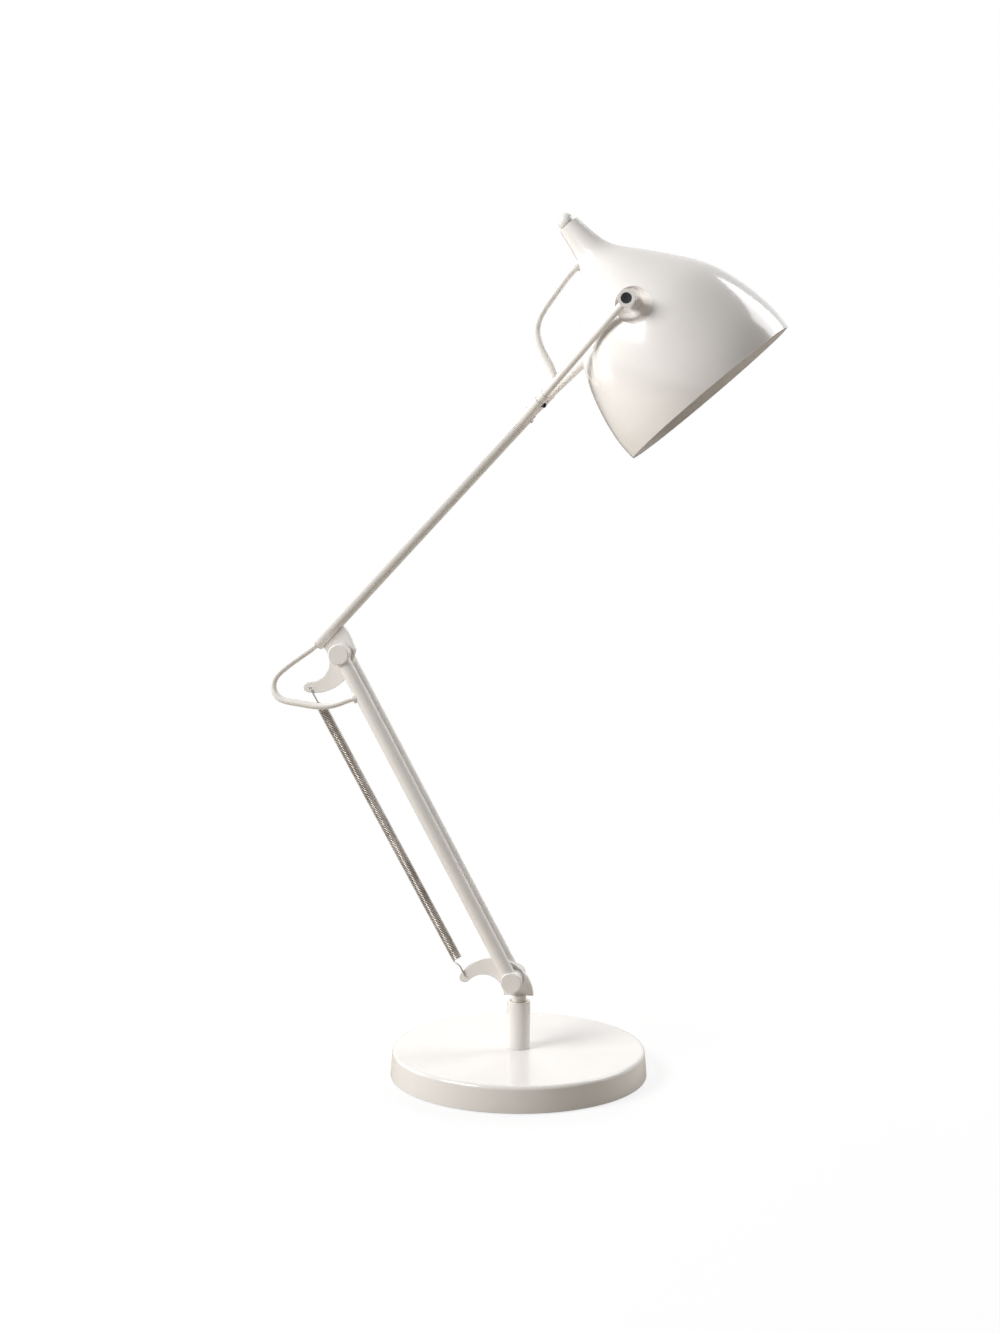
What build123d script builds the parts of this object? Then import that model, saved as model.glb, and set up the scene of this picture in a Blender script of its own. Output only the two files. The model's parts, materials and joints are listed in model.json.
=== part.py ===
"""Swing arm desk lamp: round weighted base, turning post, sprung twin-tube arm and a bell shade in a fork."""
import math
import os

from build123d import *

os.makedirs("parts", exist_ok=True)

# Sizes are in millimetres and angles in degrees.
# The origin is the middle of the base's underside, +Z is up, and the arm swings in the XZ plane.

# Clearances
running_clearance = 0.05
face_clearance = 0.1
seat_clearance = 0.3

# Base
base_radius = 100.0
base_height = 21.0
base_draft = 1.6
base_edge_radius = 3.0
base_wall = 1.6
base_rim_lift = 1.0
pad_thickness = 3.0
pad_inset = 3.5
weight_inset = 5.5

# Post and its fixing
post_diameter = 18.0
post_height = 37.5
post_floor = 9.0
bolt_diameter = 8.0
bolt_head_diameter = 13.0
bolt_head_height = 5.3
bolt_grip = 8.0
washer_diameter = 20.0
washer_thickness = 1.6

# Swivel
bush_wall = 2.5
bush_length = 22.5
spindle_diameter = 9.0
spindle_tail = 3.0
neck_diameter = 11.6
neck_height = 4.7
clip_diameter = 12.0
clip_thickness = 1.0
clip_groove_depth = 1.0
clip_mouth = 5.0

# Bracket plates, the same shape at both pivots, measured from the pivot
plate_thickness = 4.4
plate_flat_drop = 13.2
plate_radius = 31.0
plate_centre_back = 15.0
plate_centre_drop = 15.2
bite_radius = 16.0
bite_back = 22.8
bite_drop = 13.7
hook_foot_drop = 4.2
hook_corner_radius = 3.4
hook_back = 37.2
hook_rise = 1.2
hook_hole_diameter = 2.6

# Lower arm
pivot_setback = 4.5
lower_length = 286.0
lower_angle = 62.1
tube_diameter = 11.0
tube_wall = 1.2
boss_diameter = 16.0
boss_length = 13.75
boss_chamfer = 0.6
pin_diameter = 6.0
pin_depth = 11.0
thrust_diameter = 13.0
thrust_thickness = 0.5

# Upper arm
upper_angle = 47.3
tube_tail = 8.3
seam_reach = 217.8
shade_reach = 346.2
end_bush_flange = 1.2
end_bush_plug = 6.0
end_bush_chamfer = 0.4

# Fork
spigot_length = 22.0
stop_pin_diameter = 2.4
stop_pin_setback = 12.0
stop_groove_depth = 0.9
stop_swing = 90.0
stop_margin = 2.0
block_length = 17.0
prong_diameter = 7.6
prong_length = 30.0
rod_diameter = 5.6
rod_socket = 15.0
rod_root = 2.2
ferrule_diameter = 7.0
ferrule_length = 6.4
ferrule_gap = 1.0
rod_clearance = 2.1
fork_sag = 2.6
fork_turn = -1.55
eye_diameter = 13.0
eye_length = 13.0
eye_recess_diameter = 8.0
eye_recess_depth = 7.0
clamp_screw_diameter = 3.0
clamp_screw_reach = 12.2
clamp_screw_proud = 0.8
rod_screw_diameter = 3.8
rod_screw_setback = 3.8
rod_screw_proud = 0.3
rod_screw_socket = 2.0
rod_screw_socket_depth = 0.8

# Shade
shade_angle = 130.8
shade_wall = 1.2
shade_pivot_height = 86.9
mouth_radius = 74.6
belly_height = 14.0
belly_radius = 75.1
flank_height = 45.0
flank_radius = 70.4
shoulder_height = 72.0
shoulder_radius = 60.9
waist_height = 98.0
waist_radius = 43.2
throat_height = 120.0
throat_radius = 24.9
collar_height = 134.0
collar_radius = 14.5
neck_mid_height = 147.0
neck_mid_radius = 10.7
neck_end_height = 163.5
neck_end_radius = 8.3
dimple_sink = 8.0
dimple_floor_radius = 9.0
dimple_angle = 29.0

# Shade pivots
screw_diameter = 4.0
screw_head_diameter = 7.0
screw_head_height = 4.0
screw_socket_diameter = 3.4
screw_socket_depth = 2.2
spacer_diameter = 10.0
nut_width = 7.0
nut_height = 3.2
screw_end = 1.0

# Lamp inside the shade
finial_radius = 6.2
finial_lift = 3.4
finial_stem_diameter = 5.0
finial_thread = 4.0
plug_top_drop = 6.0
plug_length = 10.0
plug_thread = 5.0
nipple_diameter = 10.0
nipple_bore = 6.0
nipple_thread = 4.0
holder_top_height = 116.0
holder_diameter = 27.0
holder_length = 42.0
holder_shoulder = 8.0
holder_socket_depth = 26.0
holder_socket_diameter = 14.2
bulb_cap_diameter = 14.0
bulb_cap_length = 27.0
bulb_radius = 22.0
bulb_length = 74.0
bulb_taper_angle = 60.0

# Cables
cable_diameter = 5.2
cable_bore_clearance = 0.1
lead_diameter = 4.2
lead_offset = 8.2
lead_tail = 2.3
gland_height = 136.2
gland_diameter = 6.2
gland_flange_diameter = 7.8
gland_reach = 16.4
gland_chamfer = 0.6
grommet_diameter = 6.6
grommet_flange_diameter = 9.0
grommet_flange = 1.1
entry_reach = 250.0
entry_angle = 17.7
entry_run = 10.9
outlet_reach = 62.0
elbow_loop_inset = 3.0
elbow_loop_run = 9.0
shade_loop_run = 9.5
gland_loop_run = 10.8
bend_share = 0.45

# Spring
spring_turns = 96
spring_radius = 3.4
spring_wire = 1.5
spring_lower_lead = 14.0
spring_upper_lead = 17.0
spring_lead_angle = 60.0
spring_hook_front = 3.5
spring_hook_bend = 1.7
spring_hook_tail = 2.2

# Places along the lamp
front = Vector(0, -1, 0)
rear = Vector(0, 1, 0)
sides = (("front", front), ("rear", rear))


def slope(angle):
    """Return the direction in the arm's plane that rises at an angle from +X."""
    return Vector(math.cos(math.radians(angle)), 0, math.sin(math.radians(angle)))


post_radius = post_diameter / 2
post_top = base_height + post_height
plate_edge_height = post_top + neck_height
pin_radius = pin_diameter / 2
tube_radius = tube_diameter / 2
tube_bore = tube_radius - tube_wall
boss_radius = boss_diameter / 2
cable_radius = cable_diameter / 2
cable_bore = cable_radius + cable_bore_clearance

lower_pivot = Vector(-pivot_setback, 0, plate_edge_height + plate_flat_drop)
lower_direction = slope(180 - lower_angle)
elbow = lower_pivot + lower_direction * lower_length
upper_direction = slope(upper_angle)
upper_normal = slope(upper_angle + 90)
upper_foot = elbow + upper_normal * (plate_flat_drop + tube_radius)


def turned(direction):
    """Return a direction turned with the fork, round the upper tube's axis."""
    return direction.rotate(Axis((0, 0, 0), upper_direction), fork_turn)


fork_front = turned(front)
fork_rear = turned(rear)
fork_sides = (("front", fork_front), ("rear", fork_rear))
shade_pivot = upper_foot + upper_direction * shade_reach - turned(upper_normal) * fork_sag
shade_direction = turned(slope(shade_angle))
shade_side = turned(slope(shade_angle + 90))
mouth_centre = shade_pivot - shade_direction * shade_pivot_height


def bell_curve():
    """Draw the outside of the bell from its mouth to the end of its neck."""
    return Spline(
        (mouth_radius, 0),
        (belly_radius, belly_height),
        (flank_radius, flank_height),
        (shoulder_radius, shoulder_height),
        (waist_radius, waist_height),
        (throat_radius, throat_height),
        (collar_radius, collar_height),
        (neck_mid_radius, neck_mid_height),
        (neck_end_radius, neck_end_height),
    )


bell_edge = bell_curve()


def halved(low, high, is_low):
    """Return the value between two bounds at which a test stops being true."""
    for halving in range(halvings):
        middle = (low + high) / 2
        if is_low(middle):
            low = middle
        else:
            high = middle
    return low


def bell_radius(height):
    """Return the outside radius of the bell at a height above its mouth."""
    place = halved(0.0, 1.0, lambda place: (bell_edge @ place).Y < height)
    return (bell_edge @ place).X


def rod_gap(half_width):
    """Return the least gap between a fork rod and the bell, for a fork of that half-width."""
    eye = shade_pivot + fork_front * half_width
    gaps = []
    for step in range(gap_steps + 1):
        point = fork_root + (eye - fork_root) * (step / gap_steps) - mouth_centre
        height = point.dot(shade_direction)
        reach = (point - shade_direction * height).length
        gaps.append(reach - rod_diameter / 2 - bell_radius(height))
    return min(gaps)


# The fork is as wide as its rods need to clear the bell, to a tenth of a millimetre.
halvings = 40
gap_steps = 24
fork_root = upper_foot + upper_direction * (seam_reach + rod_root)
least_width = halved(0.0, 2 * belly_radius, lambda half_width: rod_gap(half_width) < rod_clearance)
fork_half_width = round(least_width, 1)

boss_inner = plate_thickness / 2 + thrust_thickness + running_clearance
tube_offset = boss_inner + boss_length / 2
eye_inner = fork_half_width - eye_length / 2
eye_outer = fork_half_width + eye_length / 2


def along_upper(reach, lift=0.0):
    """Return a point on the upper arm, by its distance along the tube and above the tube's axis."""
    return upper_foot + upper_direction * reach + upper_normal * lift


def in_shade(height, reach=0.0):
    """Return a point in the shade, by its height above the mouth and its reach towards the arm."""
    return mouth_centre + shade_direction * height + shade_side * reach


def on_front_tube(reach):
    """Return a point on the axis of the front lower tube, by its distance from the lower pivot."""
    return lower_pivot + lower_direction * reach + front * tube_offset


def cross_plane(point, direction):
    """Return the plane through a point that faces along a direction, with its x axis in the arm's plane."""
    x_dir = rear.cross(direction) if abs(direction.Y) < 0.5 else Vector(1, 0, 0)
    return Plane(origin=point, x_dir=x_dir, z_dir=direction)


def rod(plane, radius, length, bore=0.0, mode=Mode.ADD):
    """Add a round bar, or a tube, that stands on a plane, or cut one away."""
    base = (Align.CENTER, Align.CENTER, Align.MIN)
    bar = Cylinder(radius, length, align=base, mode=Mode.PRIVATE)
    if bore > 0:
        bar = bar - Cylinder(bore, length, align=base, mode=Mode.PRIVATE)
    with Locations(plane):
        add(bar, mode=mode)


def cross_hole(point, direction, radius):
    """Cut a round hole through everything, along a direction."""
    reach = 2 * eye_outer
    rod(cross_plane(point - direction * reach, direction), radius, 2 * reach, mode=Mode.SUBTRACT)


# Base: cover, cast weight, pad and the bolt that holds the post
with BuildPart() as base_cover:
    with BuildSketch(Plane.XZ) as cover_profile:
        with BuildLine():
            Polyline(
                (0, base_height),
                (base_radius - base_draft, base_height),
                (base_radius, base_rim_lift),
                (base_radius - base_wall, base_rim_lift),
                (base_radius - base_draft - base_wall, base_height - base_wall),
                (0, base_height - base_wall),
                close=True,
            )
        make_face()
        outer_corner = vertices().group_by(Axis.Y)[-1].sort_by(Axis.X)[-1]
        fillet(outer_corner, base_edge_radius)
        inner_corner = (base_radius - base_draft - base_wall, base_height - base_wall)
        fillet(vertices().sort_by_distance(inner_corner)[0], base_edge_radius - base_wall)
    revolve(axis=Axis.Z)
    rod(Plane.XY, bolt_diameter / 2, 2 * base_height, mode=Mode.SUBTRACT)
base_cover.part.label = "base_cover"
export_step(base_cover.part, "parts/base_cover.step")

weight_height = base_height - base_wall - pad_thickness
counterbore_depth = bolt_head_height + washer_thickness + face_clearance
with BuildPart() as base_weight:
    rod(Plane.XY.offset(pad_thickness), base_radius - weight_inset, weight_height)
    rod(Plane.XY, bolt_diameter / 2, base_height, mode=Mode.SUBTRACT)
    rod(
        Plane.XY.offset(pad_thickness),
        washer_diameter / 2 + seat_clearance,
        counterbore_depth,
        mode=Mode.SUBTRACT,
    )
base_weight.part.label = "base_weight"
export_step(base_weight.part, "parts/base_weight.step")

with BuildPart() as base_pad:
    rod(Plane.XY, base_radius - pad_inset, pad_thickness)
base_pad.part.label = "base_pad"
export_step(base_pad.part, "parts/base_pad.step")

washer_top = pad_thickness + counterbore_depth
with BuildPart() as stem_washer:
    rod(Plane.XY.offset(washer_top - washer_thickness), washer_diameter / 2, washer_thickness, bolt_diameter / 2)
stem_washer.part.label = "stem_washer"
export_step(stem_washer.part, "parts/stem_washer.step")

head_top = washer_top - washer_thickness
with BuildPart() as stem_bolt:
    with BuildSketch(Plane.XY.offset(head_top - bolt_head_height)):
        RegularPolygon(bolt_head_diameter / 2, 6, major_radius=False)
    extrude(amount=bolt_head_height)
    rod(Plane.XY.offset(head_top), bolt_diameter / 2, base_height + bolt_grip - head_top)
stem_bolt.part.label = "stem_bolt"
export_step(stem_bolt.part, "parts/stem_bolt.step")

bush_radius = spindle_diameter / 2 + running_clearance + bush_wall
with BuildPart() as stem_post:
    rod(Plane.XY.offset(base_height), post_radius, post_height)
    rod(Plane.XY.offset(base_height + post_floor), bush_radius, post_height, mode=Mode.SUBTRACT)
    rod(Plane.XY.offset(base_height), bolt_diameter / 2, bolt_grip, mode=Mode.SUBTRACT)
stem_post.part.label = "stem_post"
export_step(stem_post.part, "parts/stem_post.step")

with BuildPart() as swivel_bush:
    rod(
        Plane.XY.offset(post_top - bush_length),
        bush_radius,
        bush_length,
        spindle_diameter / 2 + running_clearance,
    )
swivel_bush.part.label = "swivel_bush"
export_step(swivel_bush.part, "parts/swivel_bush.step")

# Swivel: spindle, its retaining clip and the lower bracket plate
neck_foot = post_top + face_clearance
clip_top = post_top - bush_length - face_clearance
spindle_foot = clip_top - clip_thickness - spindle_tail
groove_radius = spindle_diameter / 2 - clip_groove_depth
with BuildPart() as swivel_neck:
    rod(Plane.XY.offset(neck_foot), neck_diameter / 2, plate_edge_height - neck_foot)
    rod(Plane.XY.offset(spindle_foot), spindle_diameter / 2, neck_foot - spindle_foot)
    rod(
        Plane.XY.offset(clip_top - clip_thickness),
        spindle_diameter,
        clip_thickness,
        groove_radius,
        mode=Mode.SUBTRACT,
    )
swivel_neck.part.label = "swivel_neck"
export_step(swivel_neck.part, "parts/swivel_neck.step")

with BuildPart() as swivel_clip:
    with BuildSketch(Plane.XY.offset(clip_top - clip_thickness)):
        Circle(clip_diameter / 2)
        Circle(groove_radius, mode=Mode.SUBTRACT)
        Rectangle(clip_diameter, clip_mouth, align=(Align.MIN, Align.CENTER), mode=Mode.SUBTRACT)
    extrude(amount=clip_thickness)
swivel_clip.part.label = "swivel_clip"
export_step(swivel_clip.part, "parts/swivel_clip.step")


def bracket_outline(edge_drop):
    """Draw the crescent plate round its pivot, with its straight edge that far below the pivot."""
    with Locations((-plate_centre_back, -plate_centre_drop)):
        Circle(plate_radius)
    with Locations((0, -edge_drop)):
        Rectangle(4 * plate_radius, 4 * plate_radius, align=(Align.CENTER, Align.MAX), mode=Mode.SUBTRACT)
    with Locations((-bite_back, -bite_drop)):
        Circle(bite_radius, mode=Mode.SUBTRACT)
    with Locations((-bite_back, -hook_foot_drop)):
        Rectangle(2 * plate_radius, 2 * plate_radius, align=(Align.MAX, Align.MAX), mode=Mode.SUBTRACT)
    fillet(vertices().sort_by(Axis.X)[:2], hook_corner_radius)
    Circle(pin_radius + running_clearance, mode=Mode.SUBTRACT)
    with Locations((-hook_back, hook_rise)):
        Circle(hook_hole_diameter / 2, mode=Mode.SUBTRACT)


lower_plate_plane = Plane(origin=lower_pivot, x_dir=(1, 0, 0), z_dir=front)
with BuildPart() as lower_bracket:
    with BuildSketch(lower_plate_plane):
        bracket_outline(plate_flat_drop)
    extrude(amount=plate_thickness / 2, both=True)
lower_bracket.part.label = "lower_bracket"
export_step(lower_bracket.part, "parts/lower_bracket.step")

# Lower arm: two tubes between four bosses, with a pin and thrust washers at each end
entry_point = on_front_tube(entry_reach)
entry_direction = slope(entry_angle)
outlet_point = on_front_tube(outlet_reach)
for side_name, outward in sides:
    with BuildPart() as lower_tube:
        rod(cross_plane(lower_pivot + outward * tube_offset, lower_direction), tube_radius, lower_length)
        rod(
            cross_plane(lower_pivot + outward * tube_offset, lower_direction),
            tube_bore,
            lower_length,
            mode=Mode.SUBTRACT,
        )
        cross_hole(lower_pivot, rear, boss_radius)
        cross_hole(elbow, rear, boss_radius)
        if outward == front:
            rod(
                cross_plane(entry_point - entry_direction * tube_diameter, entry_direction),
                grommet_diameter / 2,
                tube_diameter,
                mode=Mode.SUBTRACT,
            )
            rod(cross_plane(outlet_point, rear), grommet_diameter / 2, tube_radius, mode=Mode.SUBTRACT)
    lower_tube.part.label = "lower_tube_" + side_name
    export_step(lower_tube.part, "parts/lower_tube_" + side_name + ".step")

for pivot_name, pivot in (("lower", lower_pivot), ("elbow", elbow)):
    for side_name, outward in sides:
        with BuildPart() as boss:
            rod(cross_plane(pivot + outward * boss_inner, outward), boss_radius, boss_length)
            rod(cross_plane(pivot + outward * boss_inner, outward), pin_radius, pin_depth, mode=Mode.SUBTRACT)
            chamfer(boss.faces().sort_by(Axis.Y)[0 if outward == front else -1].edges(), boss_chamfer)
        boss.part.label = pivot_name + "_boss_" + side_name
        export_step(boss.part, "parts/" + pivot_name + "_boss_" + side_name + ".step")

    pin_half = boss_inner + pin_depth
    with BuildPart() as pivot_pin:
        rod(cross_plane(pivot + front * pin_half, rear), pin_radius, 2 * pin_half)
    pivot_pin.part.label = pivot_name + "_pivot_pin"
    export_step(pivot_pin.part, "parts/" + pivot_name + "_pivot_pin.step")

    with BuildPart() as thrust_washers:
        for side_name, outward in sides:
            rod(
                cross_plane(pivot + outward * (boss_inner - thrust_thickness), outward),
                thrust_diameter / 2,
                thrust_thickness,
                pin_radius,
            )
    thrust_washers.part.label = pivot_name + "_thrust_washers"
    export_step(thrust_washers.part, "parts/" + pivot_name + "_thrust_washers.step")

# Grommets where the cable enters the front tube and where the mains lead leaves it
for grommet_name, centre, inward in (
    ("entry_grommet", entry_point, entry_direction),
    ("outlet_grommet", outlet_point, front),
):
    with BuildPart() as grommet:
        rod(
            cross_plane(centre - inward * (tube_radius + grommet_flange), inward),
            grommet_flange_diameter / 2,
            tube_radius + grommet_flange,
        )
        rod(cross_plane(on_front_tube(0), lower_direction), tube_radius, lower_length, mode=Mode.SUBTRACT)
        rod(
            cross_plane(centre - inward * (tube_radius + grommet_flange), inward),
            grommet_diameter / 2,
            tube_wall + grommet_flange,
        )
        rod(
            cross_plane(centre - inward * tube_diameter, inward),
            cable_bore,
            2 * tube_diameter,
            mode=Mode.SUBTRACT,
        )
    grommet.part.label = grommet_name
    export_step(grommet.part, "parts/" + grommet_name + ".step")

# Upper arm: bracket plate, tube, end bush and the pin that holds the fork
upper_plate_plane = Plane(origin=elbow, x_dir=upper_direction, z_dir=rear)
with BuildPart() as upper_bracket:
    with BuildSketch(upper_plate_plane):
        bracket_outline(plate_flat_drop + tube_wall)
    extrude(amount=plate_thickness / 2, both=True)
    rod(cross_plane(along_upper(-seam_reach), upper_direction), tube_radius, 2 * seam_reach, mode=Mode.SUBTRACT)
upper_bracket.part.label = "upper_bracket"
export_step(upper_bracket.part, "parts/upper_bracket.step")

stop_pin_reach = seam_reach - stop_pin_setback
tube_top = seam_reach - face_clearance
with BuildPart() as upper_tube:
    rod(cross_plane(along_upper(-tube_tail), upper_direction), tube_radius, tube_top + tube_tail, tube_bore)
    rod(cross_plane(along_upper(stop_pin_reach), rear), stop_pin_diameter / 2, tube_diameter, mode=Mode.SUBTRACT)
upper_tube.part.label = "upper_tube"
export_step(upper_tube.part, "parts/upper_tube.step")

with BuildPart() as tube_end_bush:
    rod(
        cross_plane(along_upper(-tube_tail - end_bush_flange), upper_direction),
        tube_radius,
        end_bush_flange,
        cable_bore,
    )
    rod(cross_plane(along_upper(-tube_tail), upper_direction), tube_bore, end_bush_plug, cable_bore)
    mouth_edges = tube_end_bush.edges().filter_by(GeomType.CIRCLE).sort_by_distance(along_upper(-seam_reach))[:2]
    chamfer(mouth_edges.sort_by(SortBy.RADIUS)[-1], end_bush_chamfer)
tube_end_bush.part.label = "tube_end_bush"
export_step(tube_end_bush.part, "parts/tube_end_bush.step")

spigot_radius = tube_bore - running_clearance
groove_floor = spigot_radius - stop_groove_depth
stop_pin_tip = groove_floor + face_clearance
with BuildPart() as fork_stop_pin:
    rod(
        cross_plane(along_upper(stop_pin_reach) + rear * stop_pin_tip, rear),
        stop_pin_diameter / 2,
        tube_radius - stop_pin_tip,
    )
fork_stop_pin.part.label = "fork_stop_pin"
export_step(fork_stop_pin.part, "parts/fork_stop_pin.step")

# Fork: block with two prongs, rods, ferrules and eyes
rod_length = (shade_pivot + fork_front * fork_half_width - fork_root).length


def rod_plane(outward, distance):
    """Return the plane across a fork rod at a distance from its root in the block."""
    direction = (shade_pivot + outward * fork_half_width - fork_root).normalized()
    return Plane(origin=fork_root + direction * distance, x_dir=upper_normal, z_dir=direction)


def rod_screw_plane(outward, lift):
    """Return the plane of a rod's clamp screw, on its prong's inner lower side, at a lift from the rod's axis."""
    across = rod_plane(outward, prong_length - rod_screw_setback)
    inner_low = -outward - clamp_side
    side = (inner_low - across.z_dir * inner_low.dot(across.z_dir)).normalized()
    return Plane(origin=across.origin + side * lift, x_dir=across.z_dir, z_dir=side)


stop_groove_width = stop_pin_diameter + 2 * face_clearance
stop_groove_sweep = stop_swing + math.degrees(math.asin(stop_pin_diameter / 2 / groove_floor)) + stop_margin
clamp_point = along_upper(seam_reach + clamp_screw_reach)
clamp_side = turned(upper_normal)
with BuildPart() as fork_block:
    rod(cross_plane(along_upper(seam_reach), upper_direction), tube_radius, block_length)
    rod(cross_plane(along_upper(seam_reach - spigot_length), upper_direction), spigot_radius, spigot_length)
    for side_name, outward in fork_sides:
        rod(rod_plane(outward, 0), prong_diameter / 2, prong_length)
    for side_name, outward in fork_sides:
        rod(rod_plane(outward, prong_length - rod_socket), rod_diameter / 2, rod_socket, mode=Mode.SUBTRACT)
    rod(
        cross_plane(along_upper(seam_reach - spigot_length), upper_direction),
        cable_bore,
        spigot_length + block_length + prong_length,
        mode=Mode.SUBTRACT,
    )
    rod(cross_plane(clamp_point, -clamp_side), clamp_screw_diameter / 2, tube_diameter, mode=Mode.SUBTRACT)
    for side_name, outward in fork_sides:
        rod(rod_screw_plane(outward, 0), rod_screw_diameter / 2, prong_diameter, mode=Mode.SUBTRACT)
    with BuildSketch(Plane(origin=along_upper(stop_pin_reach), x_dir=upper_direction, z_dir=-clamp_side)):
        with Locations((0, -groove_floor)):
            Rectangle(stop_groove_width, tube_diameter, align=(Align.CENTER, Align.MAX))
    revolve(
        axis=Axis(along_upper(0), upper_direction),
        revolution_arc=stop_groove_sweep,
        mode=Mode.SUBTRACT,
    )
    with BuildSketch(Plane(origin=along_upper(stop_pin_reach), x_dir=upper_direction, z_dir=-clamp_side)):
        with Locations((0, -groove_floor)):
            Rectangle(stop_groove_width, tube_diameter, align=(Align.CENTER, Align.MAX))
    revolve(
        axis=Axis(along_upper(0), -upper_direction),
        revolution_arc=stop_groove_sweep,
        mode=Mode.SUBTRACT,
    )
fork_block.part.label = "fork_block"
export_step(fork_block.part, "parts/fork_block.step")

with BuildPart() as cable_clamp_screw:
    rod(
        cross_plane(clamp_point - clamp_side * cable_bore, -clamp_side),
        clamp_screw_diameter / 2,
        tube_radius + clamp_screw_proud - cable_bore,
    )
cable_clamp_screw.part.label = "cable_clamp_screw"
export_step(cable_clamp_screw.part, "parts/cable_clamp_screw.step")

rod_screw_top = prong_diameter / 2 + rod_screw_proud
rod_screw_foot = rod_diameter / 2 + face_clearance
for side_name, outward in fork_sides:
    with BuildPart() as rod_clamp_screw:
        rod(rod_screw_plane(outward, rod_screw_foot), rod_screw_diameter / 2, rod_screw_top - rod_screw_foot)
        with BuildSketch(rod_screw_plane(outward, rod_screw_top)):
            RegularPolygon(rod_screw_socket / 2, 6, major_radius=False)
        extrude(amount=-rod_screw_socket_depth, mode=Mode.SUBTRACT)
    rod_clamp_screw.part.label = "rod_clamp_screw_" + side_name
    export_step(rod_clamp_screw.part, "parts/rod_clamp_screw_" + side_name + ".step")

    with BuildPart() as fork_rod:
        rod(rod_plane(outward, prong_length - rod_socket), rod_diameter / 2, rod_length - prong_length + rod_socket)
        cross_hole(shade_pivot, fork_rear, eye_diameter / 2)
    fork_rod.part.label = "fork_rod_" + side_name
    export_step(fork_rod.part, "parts/fork_rod_" + side_name + ".step")

    with BuildPart() as fork_ferrule:
        rod(
            rod_plane(outward, prong_length + ferrule_gap),
            ferrule_diameter / 2,
            ferrule_length,
            rod_diameter / 2,
        )
    fork_ferrule.part.label = "fork_ferrule_" + side_name
    export_step(fork_ferrule.part, "parts/fork_ferrule_" + side_name + ".step")

    with BuildPart() as fork_eye:
        rod(
            cross_plane(shade_pivot + outward * eye_inner, outward),
            eye_diameter / 2,
            eye_length,
            screw_diameter / 2 + running_clearance,
        )
        rod(
            cross_plane(shade_pivot + outward * eye_outer, -outward),
            eye_recess_diameter / 2,
            eye_recess_depth,
            mode=Mode.SUBTRACT,
        )
    fork_eye.part.label = "fork_eye_" + side_name
    export_step(fork_eye.part, "parts/fork_eye_" + side_name + ".step")

# Shade: spun bell with a pressed seat for each pivot
shade_plane = Plane(origin=mouth_centre, x_dir=shade_side, z_dir=shade_side.cross(shade_direction))
shade_axis = Axis(mouth_centre, shade_direction)
wall_points = 24
dimple_slope = math.tan(math.radians(dimple_angle))
seat_thickness = shade_wall / math.cos(math.radians(dimple_angle))


# The inside follows the outside at the wall's thickness.
inner_points = []
for step in range(wall_points + 1):
    place = step / wall_points
    tangent = bell_edge % place
    inner_points.append(bell_edge @ place + Vector(-tangent.Y, tangent.X) * shade_wall)

dimple_depth = bell_radius(shade_pivot_height) - dimple_sink

with BuildPart() as bell_outside:
    with BuildSketch(shade_plane):
        with BuildLine():
            outside = bell_curve()
            Polyline(outside @ 1, (0, neck_end_height), (0, 0), outside @ 0)
        make_face()
    revolve(axis=shade_axis)

with BuildPart() as bell_inside:
    with BuildSketch(shade_plane):
        with BuildLine():
            inside = Spline(*inner_points)
            Polyline(
                inside @ 1,
                inside @ 1 + Vector(0, shade_wall),
                (0, neck_end_height + 2 * shade_wall),
                (0, -shade_wall),
                inside @ 0 - Vector(0, shade_wall),
                inside @ 0,
            )
        make_face()
    revolve(axis=shade_axis)


def dimple(outward, floor, radius, mode=Mode.ADD):
    """Add or cut the widening seat of a pivot, from its floor out past the side of the bell."""
    height = belly_radius - floor
    with Locations(cross_plane(shade_pivot + outward * floor, outward)):
        Cone(
            radius,
            radius + height * dimple_slope,
            height,
            align=(Align.CENTER, Align.CENTER, Align.MIN),
            mode=mode,
        )


with BuildPart() as seat_skin:
    for side_name, outward in fork_sides:
        seat_radius = dimple_floor_radius + seat_thickness - shade_wall * dimple_slope
        dimple(outward, dimple_depth - shade_wall, seat_radius)
    add(bell_outside.part, mode=Mode.INTERSECT)

with BuildPart() as shade_shell:
    add(bell_outside.part)
    add(bell_inside.part, mode=Mode.SUBTRACT)
    add(seat_skin.part)
    for side_name, outward in fork_sides:
        dimple(outward, dimple_depth, dimple_floor_radius, mode=Mode.SUBTRACT)
    cross_hole(shade_pivot, fork_rear, screw_diameter / 2)
    rod(cross_plane(in_shade(gland_height), shade_side), gland_diameter / 2, mouth_radius, mode=Mode.SUBTRACT)
shade_shell.part.label = "shade_shell"
export_step(shade_shell.part, "parts/shade_shell.step")

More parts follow.
